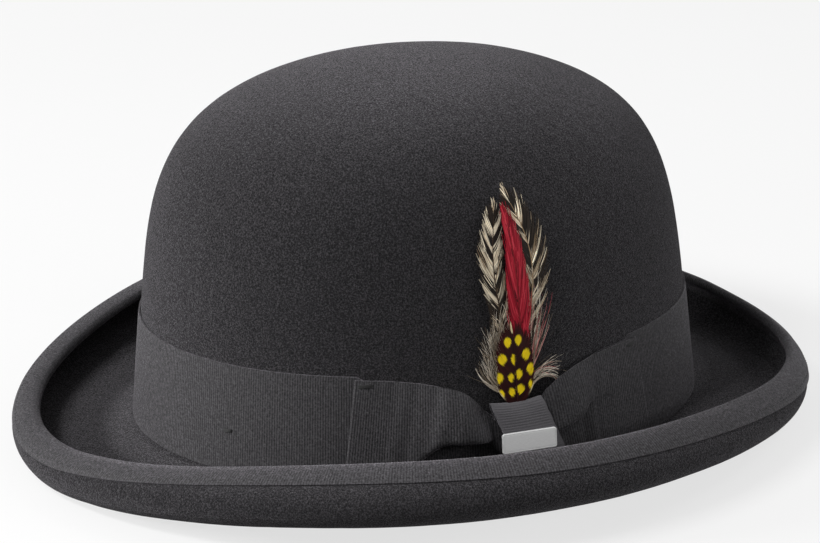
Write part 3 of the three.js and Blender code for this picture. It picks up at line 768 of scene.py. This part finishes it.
def binding_stitches(material):
    """The row of stitches that holds the binding, near its edge under the brim and on top."""
    count = 290
    from_edge = 2.2
    per_degree = 2.4  # millimetres along the brim's edge
    angles = np.arange(0, 360, 360 / count)
    starts = Brim(angles).curl_fraction(BINDING_WIDTH - from_edge)
    under, over = -BINDING_GAP - RIBBON - 0.12, FELT + BINDING_GAP + RIBBON + 0.2
    runs = []
    for lift, length in ((under, 0.9), (over, 0.8)):
        for angle, start in zip(angles, starts):
            sweep = angle + np.linspace(-0.5, 0.5, 4) * length / per_degree
            path, core = (around(sweep, *Brim(sweep).curl(start, depth)) for depth in (lift, FELT / 2))
            path[[0, -1]] += (core - path)[[0, -1]] * 0.12
            runs.append(stitch(path, 0.16))
    assign(closed_mesh("binding_stitches", *runs), material)


# ---------------- feathers

def at_feather(x, rise, offset):
    """A point over the crown, from millimetres round it from the feather mount, a rise and an offset."""
    return over_crown(FEATHER_ANGLE + x / PER_DEGREE, rise, offset)


def strips(name, lines, widths, colours, material, node, slot):
    """Flat strips as one piece. Each line is a row of (x, rise, offset), with widths and colours there."""
    ahead = np.gradient(lines[..., :2], axis=1)
    ahead /= np.maximum(np.linalg.norm(ahead, axis=-1, keepdims=True), 1e-6)
    side = np.stack([ahead[..., 1], -ahead[..., 0], np.zeros(ahead.shape[:-1])], -1) * widths[..., None] / 2
    pair = np.stack([lines - side, lines + side], 2)
    points = at_feather(*np.moveaxis(pair, -1, 0))
    count, length = lines.shape[:2]
    i, j = np.meshgrid(np.arange(count), np.arange(length - 1), indexing="ij")
    base = (i * length + j) * 2
    quads = np.stack([base, base + 1, base + 3, base + 2], -1)
    colours = np.repeat(colours[:, :, None], 2, 2).reshape(-1, 3)
    piece = build_mesh(name, points, quads, attributes={"dye": colours})
    assign(piece, material, node, "feather")


def grown(root, heading, curve, length, segments, lift):
    """Lines that leave their roots at a heading (0 is up, in degrees) and curve as they go."""
    q = np.linspace(0, 1, segments)[None]
    turn = np.radians(heading[:, None] + curve[:, None] * q)
    step = length[:, None] / (segments - 1)
    x = root[:, :1] + np.cumsum(np.sin(turn) * step, 1) - np.sin(turn[:, :1]) * step
    rise = root[:, 1:2] + np.cumsum(np.cos(turn) * step, 1) - np.cos(turn[:, :1]) * step
    return np.stack([x, rise, root[:, 2:3] + lift(q)], -1), np.broadcast_to(q, x.shape)


def vane(rng, shaft, half_width, fullest, lean, count, segments=11, width=0.34, splits=9, ragged=0.12,
         curl=0.45, foot=0.2, taper=0.7):
    """
    The barbs of a feather on both sides of its shaft, and where each point lies: its root's part of the
    shaft, its part of the barb and its side.
    """
    t = np.sort(np.tile(np.linspace(0.01, 1, count), 2) + rng.normal(0, 0.004, count * 2)).clip(0.005, 1)
    side = np.where(np.arange(count * 2) % 2 == 0, -1.0, 1.0)
    root = shaft(t)
    ahead = shaft(np.minimum(t + 0.02, 1.02)) - shaft(t - 0.02)
    heading = np.degrees(np.arctan2(ahead[:, 0], ahead[:, 1]))
    rising = np.where(t < fullest, mix(foot, 1, t / fullest), (1 - t) / (1 - fullest)).clip(0, 1)
    reach = half_width * np.sin(np.pi / 2 * rising) ** taper
    reach += 0.25 * half_width * smoothstep(t, 0.8, 1)
    group = t * splits + np.where(side > 0, 0.37, 0)
    share = group - np.floor(group)
    tuft = rng.normal(0, 4, splits + 3)[np.floor(group).astype(int)]
    angle = mix(lean[0], lean[1], t) + tuft - (share - 0.5) * 9 + rng.normal(0, 2.5, len(t))
    angle *= 1 - 0.75 * smoothstep(t, 0.9, 1)
    length = reach / np.sin(np.radians(np.maximum(angle, 9))) * (1 + rng.normal(0, ragged, len(t)))
    limit = half_width * mix(3.2, 0.8, smoothstep(t, 0.72, 1))
    length = np.minimum(length, limit * rng.uniform(0.85, 1.1, len(t)))
    loft = rng.uniform(0, 0.35, (len(t), 1))
    lines, q = grown(root, heading + side * angle, -side * angle * curl, length, segments,
                     lambda q: loft * np.sin(np.pi * q * 0.9) + 0.25 * (1 - q) * 0.5)
    widths = width * (1 - 0.75 * q**2) * rng.uniform(0.75, 1.25, (len(t), 1))
    return lines, widths, t[:, None] * np.ones_like(q), q, side[:, None] * np.ones_like(q)


def shaft_line(base, tip, bend, bottom, top, offset):
    """A bowed shaft as a function of the share up it: x goes from base to tip, rise from bottom to top."""
    def line(t):
        bow = np.sin(np.pi * np.clip(t, 0, 1) ** 1.4)
        return np.stack([mix(base, tip, t) + bend * bow, mix(bottom, top, t), np.full_like(t, offset)], -1)
    return line


def plume(name, shaft, barbs, colour, material, node, slot, width=0.7, samples=11):
    """A feather: the strips of its vane, and its shaft as one more set of lines in its own colour."""
    t = np.linspace(0, 0.97, samples * 4 - 3)
    t = np.stack([t[i:i + samples] for i in range(0, len(t) - 1, samples - 1)])
    path = shaft(t) + np.array([0, 0, 0.32])
    quills = path, width * (1 - 0.8 * t), np.broadcast_to(np.array(colour), path.shape)
    strips(name, *map(np.concatenate, zip(barbs, quills)), material, node, slot)


def shaded(rng, colour, amount):
    """A colour for each line, lighter or darker by a random amount."""
    return colour * np.exp(rng.normal(0, amount, (len(colour), 1, 1)))


def between(share, *colours):
    """Colour at a share from 0 to 1 of the way through a run of colours."""
    places = np.linspace(0, 1, len(colours))
    return np.stack([np.interp(share, places, [c[k] for c in colours]) for k in range(3)], -1)


CREAM, TAN = (0.86, 0.76, 0.58), (0.34, 0.23, 0.13)
UMBER, SOOT = (0.055, 0.034, 0.020), (0.007, 0.0055, 0.005)


def barred(rng, t, q, side, pitch, warmth):
    """Chevron bars that follow the barbs, paler towards the edge."""
    wander = rng.normal(0, 0.05, (len(t), 1))
    phase = t / pitch + 2 * wander + 0.3 * np.sin(9 * t + 2 * side) + 0.2 * np.sin(23 * t - side) + 0.2 * q
    bar = smoothstep(np.sin(2 * np.pi * phase), -0.45, 0.05)
    pale = between(np.clip(warmth + rng.normal(0, 0.28, (len(t), 1)) + 0 * t, 0, 1), CREAM, TAN, UMBER)
    dark = between(np.clip(0.2 * q + rng.uniform(0, 0.2, (len(t), 1)), 0, 1), SOOT, UMBER)
    return pale * (1 - bar[..., None]) + dark * bar[..., None]


def down(rng, name, node, material, count, offset, *sets):
    """
    Loose down. Each set is its share of the count, x, its lowest and highest root, the headings there, its
    bend, and its shortest and longest strand.
    """
    grown_sets = []
    for share, x, low, high, first, last, bend, short, long in sets:
        n = int(count * share)
        place = rng.uniform(0, 1, n)
        root = [x + rng.normal(0, 0.7, n), mix(low, high, place), offset + rng.uniform(0, 1.4, n)]
        heading = mix(first, last, place) + rng.normal(0, 9, n)
        curve = bend * rng.uniform(0.3, 1.6, n)
        length = rng.uniform(short, long, n)
        grown_sets.append((np.stack(root, -1), heading, curve, length, rng.uniform(0, 1, n)))
    root, heading, curve, length, tone = map(np.concatenate, zip(*grown_sets))
    lines, q = grown(root, heading, curve, length, 9, lambda q: 0.9 * q * q)
    widths = 0.25 * (1 - 0.75 * q) * rng.uniform(0.4, 1.7, (len(q), 1))
    colours = between(np.clip(tone[:, None] ** 2.2 * 1.05 + 0.22 * (1 - q), 0, 1),
                      (0.95, 0.88, 0.76), (0.50, 0.40, 0.29), (0.10, 0.07, 0.045), SOOT)
    rosy = (root[:, 0] > 3.4) & (abs(root[:, 1] - 39) < 5) & (rng.uniform(0, 1, len(root)) < 0.4)
    colours = np.where(rosy[:, None, None], colours * 0.5 + np.array((0.42, 0.05, 0.07)), colours)
    strips(name, lines, widths, colours, material, node, "downy_plumage")


def feathers(material, thread):
    """The mount: two barred feathers, a red one over them, a spotted one at the foot, and loose down."""
    rng = np.random.default_rng(11)
    shaft = shaft_line(0.3, -3.0, -3.6, 35, 93, 2.55)
    lines, widths, t, q, side = vane(rng, shaft, 5.0, 0.62, (40, 30), 380)
    colours = shaded(rng, barred(rng, t, q, side, 0.13, 0.05), 0.2)
    plume("barred_plume_front", shaft, (lines, widths, colours), UMBER, material,
          "barred_feather_front", "barred_plumage")

    shaft = shaft_line(1.5, 2.6, 6.0, 35, 96, 3.45)
    lines, widths, t, q, side = vane(rng, shaft, 5.8, 0.6, (36, 22), 400, ragged=0.22, splits=7)
    colours = shaded(rng, barred(rng, t, q, side, 0.15, 0.22), 0.3)
    plume("barred_plume_back", shaft, (lines, widths, colours), TAN, material,
          "barred_feather_back", "barred_plumage")

    shaft = shaft_line(1.8, 0.2, 1.0, 35, 90, 4.35)
    lines, widths, t, q, side = vane(rng, shaft, 5.8, 0.26, (26, 9), 480, width=0.36, ragged=0.25, curl=0.8,
                                     foot=0.6, taper=1.5)
    tone = np.clip(0.5 + 0.45 * np.sin(t * 31 + side * 2) * 0.5 + rng.normal(0, 0.22, (len(t), 1)), 0, 1)
    colours = between(tone, (0.10, 0.0015, 0.006), (0.38, 0.006, 0.022), (0.64, 0.05, 0.075))
    plume("red_plume", shaft, (lines, widths, colours), (0.20, 0.01, 0.015), material,
          "red_feather", "red_plumage")

    shaft = shaft_line(-0.6, -0.9, 0, 24.5, 48.0, 5.35)
    lines, widths, t, q, side = vane(rng, shaft, 8.4, 0.36, (54, 36), 280, segments=17, width=0.36, splits=5,
                                     ragged=0.04, curl=0.6, foot=0.75)
    colours = shaded(rng, between(0.5 * q + 0.1, (0.010, 0.0014, 0.0014), (0.046, 0.003, 0.0035)), 0.25)
    for x, rise, wide, high in SPOTS:
        below = (rise - lines[..., 1]) / high
        inside = ((lines[..., 0] - x) / (wide * (1 - 0.45 * np.clip(below, 0, 1)))) ** 2 + below**2
        yolk = shaded(rng, np.broadcast_to((0.97, 0.73, 0.008), colours.shape), 0.03)
        colours = mix(colours, yolk, (1 - smoothstep(inside, 0.75, 1.1))[..., None])
    pale = smoothstep(q, 0.5, 0.8) * (1 - smoothstep(t, 0.015, 0.04))
    drop = ((lines[..., 0] + 1.2) / 0.8) ** 2 + ((lines[..., 1] - 53.2) / 2.2) ** 2
    pale = np.maximum(pale, 1 - smoothstep(drop, 0.7, 1.2))[..., None]
    colours = mix(colours, np.array((0.80, 0.70, 0.42)), pale)
    plume("spotted_plume", shaft, (lines, widths, colours), (0.03, 0.006, 0.006), material,
          "spotted_feather", "spotted_plumage", 0.5, 17)

    down(rng, "down_front", "fluff_front", material, 400, 1.9,
         (0.66, -5.0, 31, 43, -52, -22, 34, 5, 13), (0.34, -4.6, 40, 52, -44, -8, 30, 5, 12))
    down(rng, "down_back", "fluff_back", material, 260, 2.2,
         (0.42, 5.8, 38, 56, 24, 6, -14, 10, 22), (0.16, 4.5, 31, 35, 30, 44, 70, 9, 15),
         (0.42, 4.6, 33, 48, 16, 2, -6, 10, 24))

    turn = np.linspace(0, 2 * np.pi, 33)[:-1]
    rise = np.linspace(28.8, 34, 49)
    coil = 0.12 * np.abs(np.sin(np.pi * (rise - 28.8) / 0.4))
    rows = []
    for r, bump in zip(rise[::-1], coil[::-1]):
        half = 1.9 + bump
        rows.append(at_feather(0.2 - 2.6 * np.cos(turn) * half / 2, r, 3.2 + half * np.sin(turn) * 0.85))
    ends = [at_feather(0.2, 34.05, 3.2), at_feather(0.2, 28.75, 3.2)]
    wrap = closed_mesh("wrap_thread", (rows, ends))
    assign(wrap, thread, "feather_wrap", "feather")


def feather_stem(material):
    """The flattened quill that goes down behind the knot."""
    turn = np.linspace(0, 2 * np.pi, 25)[:-1]
    rows = []
    for rise in np.linspace(28.6, 6, 24):
        half = 1.75 * (0.45 + 0.55 * smoothstep(rise, 5.5, 12))
        rows.append(at_feather(-half * np.cos(turn), rise, 2.1 + 0.62 * np.sin(turn)))
    ends = [at_feather(0, 28.62, 2.1), at_feather(0, 5.95, 2.1)]
    stem = closed_mesh("quill", (rows, ends))
    assign(stem, material, "feather_stem", "feather")


def plumage():
    """Barbs in their own colours, with a soft silky sheen."""
    m = Nodes("plumage", Roughness=0.55, Specular_IOR_Level=0.16)
    m.link(m.attribute("dye").outputs["Color"], "Base Color")
    return m.material


# ---------------- inside the hat

def wall(name, section, turns, material, node):
    """A closed ring. Its section goes down its outer face and up its inner face, at each angle."""
    rows = np.stack([around(turns, radius, height) for radius, height in section])
    quads = grid_quads(len(rows), len(turns), wrap_rows=True, wrap_columns=True)
    piece = build_mesh(name, rows, quads, sharp=55)
    assign(piece, material, node)
    return piece


def sweatband(leather, thread):
    """A leather band with a rolled top edge, stitched to the felt along its foot."""
    turns = np.arange(0, 360, 0.75)
    a = np.radians(turns)
    sway = 0.22 * np.sin(7 * a + 1) * np.sin(3 * a) + 0.12 * np.sin(17 * a + 2)
    tall = 48 + 0.35 * np.sin(5 * a) + 0.2 * np.sin(11 * a + 1)
    joint = 0.55 * swell(turns, 180, 0.45)  # the groove where its ends meet
    shares = np.concatenate([np.linspace(1, 0.9, 5), np.linspace(0.82, 0.08, 14), [0.04, 0.01, 0]])
    section = []
    for share in shares:
        outer = -3.58 + sway * 0.3 * share + 0.15 * smoothstep(share, 0.965, 1)
        section.append(layer(turns, mix(-1.1, tall, share), outer))
    section.append(layer(turns, -1.35, -4.05))
    for share in shares[::-1]:
        edge = 0.3 * smoothstep(share, 0.985, 1) + 0.3 * (1 - smoothstep(share, 0, 0.02))
        crease = 0.16 * swell(share, 0.925, 0.006) + 0.12 * swell(share, 0.07, 0.01)
        inner = -4.66 + sway * 0.3 * share + edge + crease + joint
        section.append(layer(turns, mix(-1.1, tall, share), np.minimum(inner, -4.0)))
    section.append(layer(turns, tall + 0.15, -4.1))
    band = wall("sweatband_leather", section, turns, leather, "sweatband")
    runs = []
    for angle in np.arange(0, 360, 1.8):
        if abs(angle - 180) < 3:
            continue
        sweep = angle + np.linspace(-0.6, 0.6, 4)
        runs.append(stitch(over_crown(sweep, 2.4, np.array([-4.5, -4.74, -4.74, -4.5])), 0.17))
    assign(closed_mesh("sweatband_stitches", *runs), thread)


def reed(material):
    turns = np.arange(0, 360, 2.0)
    outline = ((4.9, -2.78), (3, -2.74), (0.5, -2.78), (0.3, -2.95),
               (0.5, -3.12), (3, -3.16), (4.9, -3.12), (5.05, -2.95))
    section = [layer(turns, rise, offset) for rise, offset in outline]
    wall("reed", section, turns, material, "sweatband_reed")


def lining(satin):
    """The satin lining: a gathered side and a smooth oval tip, joined by a corded seam."""
    turns = np.arange(0, 360, 0.75)
    a = np.radians(turns)
    seam = crown_rises(12)[8]
    folds = np.abs(np.sin(32 * a + 0.8 * np.sin(5 * a))) ** 0.8
    rises = np.concatenate([[seam], seam - 1.2 * np.arange(1, 5), np.linspace(seam - 8, 50, 16),
                            np.linspace(44, 7, 10)])
    inner = []
    for rise in rises:
        loose = smoothstep(rise, 48, 62) * (1 - 0.75 * smoothstep(rise, seam - 6, seam))
        inner.append(-3.2 - loose * (0.35 + 0.75 * folds + 0.25 * np.sin(9 * a + rise * 0.06)))
    section = [layer(turns, rise, -2.78) for rise in rises]
    section += [layer(turns, rise, depth) for rise, depth in zip(rises[::-1], inner[::-1])]
    side = wall("lining_side_satin", section, turns, satin, "lining_side")

    top = CROWN_FOOT + CROWN_HEIGHT
    rises = crown_rises(40)
    rises = np.concatenate([[seam + 0.15], rises[rises > seam + 0.9]])
    outer = [over_crown(turns, rise, -2.8) for rise in rises[::-1]]
    under = []
    for rise in rises:
        cord = 0.9 * swell(rise, seam + 1.2, 0.8)
        h = rise / CROWN_HEIGHT
        slack = 0.5 * smoothstep(h, 0.97, 1.0) + 0.12 * np.sin(2 * a + 1) * smoothstep(h, 0.95, 1)
        under.append(over_crown(turns, rise, -3.15 - cord - slack))
    ends = [(0, MIDDLE_Y, top - 2.8), (0, MIDDLE_Y, top - 3.75)]
    tip = closed_mesh("lining_tip_satin", (outer + under, ends))
    assign(tip, satin, "lining_tip")


def back_trim(material):
    """The tape over the sweatband's joint and the small bow at its foot."""
    along = np.arange(0, 34.01, 0.25)
    across = np.concatenate([[0, 0.15, 0.4], np.linspace(0.8, 6.2, 9), [6.6, 6.85, 7]])

    per_degree = 1.72  # millimetres on the sweatband's inside

    def at_back(x, rise, offset):
        return over_crown(180 + x / per_degree, rise, offset)

    tape = ribbon("seam_tape", along, across, lambda u, w: at_back(w - 3.5, 13.2 + u, -5.25), rib=0.07,
                  thickness=0.34)
    assign(tape, material, "sweatband_seam_tape")

    half_length, middle_rise = 10, 6.5

    def wings(u, w):
        away = np.abs(u / half_length - 1)
        half = 1.3 + 2.9 * smoothstep(away, 0.05, 0.8)
        pleat = 0.28 * np.cos(w * np.pi * 4) * (1 - smoothstep(away, 0.1, 0.8)) - 0.35 * np.sin(np.pi * away)
        return at_back(u - half_length, middle_rise + (w * 2 - 1) * half, -5.45 + pleat * 0.6)

    along = np.arange(0, 2 * half_length + 0.01, 0.25)
    bow = ribbon("inner_bow", along, np.linspace(0, 1, 19), wings, rib=0.07, thickness=0.34)
    assign(bow, material, "sweatband_bow")
    turn = np.linspace(0, 2 * np.pi, 41)[:-1]

    def wrap(u, w):
        t = np.broadcast_to(turn[:, None], u.shape)
        return at_back(w - 1.3, middle_rise + 2.0 * np.sin(t), -5.5 - 0.62 * np.cos(t))

    across = np.linspace(0, 2.6, 7)
    knot = ribbon("inner_bow_wrap", turn * 2, across, wrap, closed=True, rib=0, thickness=0.28)
    assign(knot, material)


# ---------------- studio

def softbox(name, location, watts):
    """A square light of 0.9 m that faces the middle of the hat."""
    data = bpy.data.lights.new(name, "AREA")
    data.shape = "RECTANGLE"
    data.size = 0.9
    data.energy = watts
    lamp = bpy.data.objects.new(name, data)
    lamp.location = location
    lamp.rotation_euler = (Vector((0, 0, 0.06)) - Vector(location)).to_track_quat("-Z", "Y").to_euler()
    bpy.context.scene.collection.objects.link(lamp)


def studio():
    scene = bpy.context.scene
    scene.view_settings.view_transform = "Standard"
    world = bpy.data.worlds.new("studio")
    world.use_nodes = True
    sky, join = world.node_tree.nodes, world.node_tree.links.new
    direction = sky.new("ShaderNodeTexCoord").outputs["Generated"]
    height = sky.new("ShaderNodeSeparateXYZ")
    dimmed = sky.new("ShaderNodeMapRange")
    for key, value in (("From Min", -0.12), ("From Max", 0.06), ("To Min", 0.043), ("To Max", 0.36)):
        dimmed.inputs[key].default_value = value
    join(direction, height.inputs[0])
    join(height.outputs["Z"], dimmed.inputs["Value"])
    join(dimmed.outputs[0], sky["Background"].inputs["Strength"])
    sky["Background"].inputs["Color"].default_value = (1, 1, 1, 1)
    scene.world = world
    bpy.ops.mesh.primitive_plane_add(size=14, location=(0, 0, 0))
    floor = bpy.context.object
    floor.name = "floor"
    paper = Nodes("paper", Roughness=0.9, Specular_IOR_Level=0.1, Emission_Color=(1, 1, 1, 1),
                  Emission_Strength=0.71)
    fibres = paper.noise(paper.place(), 3, 2, 0.5)
    paper.link(paper.ramp(fibres, (0.3, grey(0.203)), (0.7, grey(0.211))), "Base Color")
    floor.data.materials.append(paper.material)
    softbox("key_softbox", (-0.32, -1.73, 0.63), 32.6)
    softbox("high_front_softbox", (0.49, -1.14, 1.43), 21.8)
    softbox("low_back_softbox", (1.05, 1.41, 0.63), 7.2)
    softbox("high_back_softbox", (0.35, 1.19, 1.43), 3.8)
    floor.visible_diffuse = False  # so that its glow doesn't light the hat


def camera():
    """The view: from the wearer's left, a little towards the front, and above."""
    azimuth, elevation, roll = math.radians(73.38), math.radians(19.785), math.radians(-1.24)
    distance = 1.3
    aim = Vector((0, MIDDLE_Y * MM, 0.0608))
    back = Vector((math.sin(azimuth) * math.cos(elevation), -math.cos(azimuth) * math.cos(elevation),
                   math.sin(elevation)))
    right = Vector((math.cos(azimuth), math.sin(azimuth), 0))
    up = back.cross(right)
    right, up = right * math.cos(roll) + up * math.sin(roll), up * math.cos(roll) - right * math.sin(roll)
    data = bpy.data.cameras.new("camera")
    data.sensor_width = 36
    data.lens = 155.3
    eye = bpy.data.objects.new("camera", data)
    turn = Matrix((right, up, back)).transposed()
    left, down = 0.001015, 0.00401
    place = aim + back * distance - right * left - up * down
    eye.matrix_world = Matrix.Translation(place) @ turn.to_4x4()
    bpy.context.scene.collection.objects.link(eye)
    bpy.context.scene.camera = eye


# ---------------- the whole hat

camera()
studio()
RIBBON_LOOK = grosgrain()
THREAD_LOOK = plain("sewing_thread", grey(0.0035), 0.6)
felt_body(wool_felt())
for ribbon_piece in (hat_band, brim_binding, bow_loop, bow_knot):
    ribbon_piece(RIBBON_LOOK)
knot_plate(plate_metal())
tacks(THREAD_LOOK)
feathers(plumage(), THREAD_LOOK)
feather_stem(plain("quill", (0.62, 0.55, 0.40), 0.4))
sweatband(leather(), THREAD_LOOK)
reed(plain("reed_plastic", (0.25, 0.22, 0.17), 0.5))
lining(satin())
back_trim(RIBBON_LOOK)
binding_stitches(THREAD_LOOK)
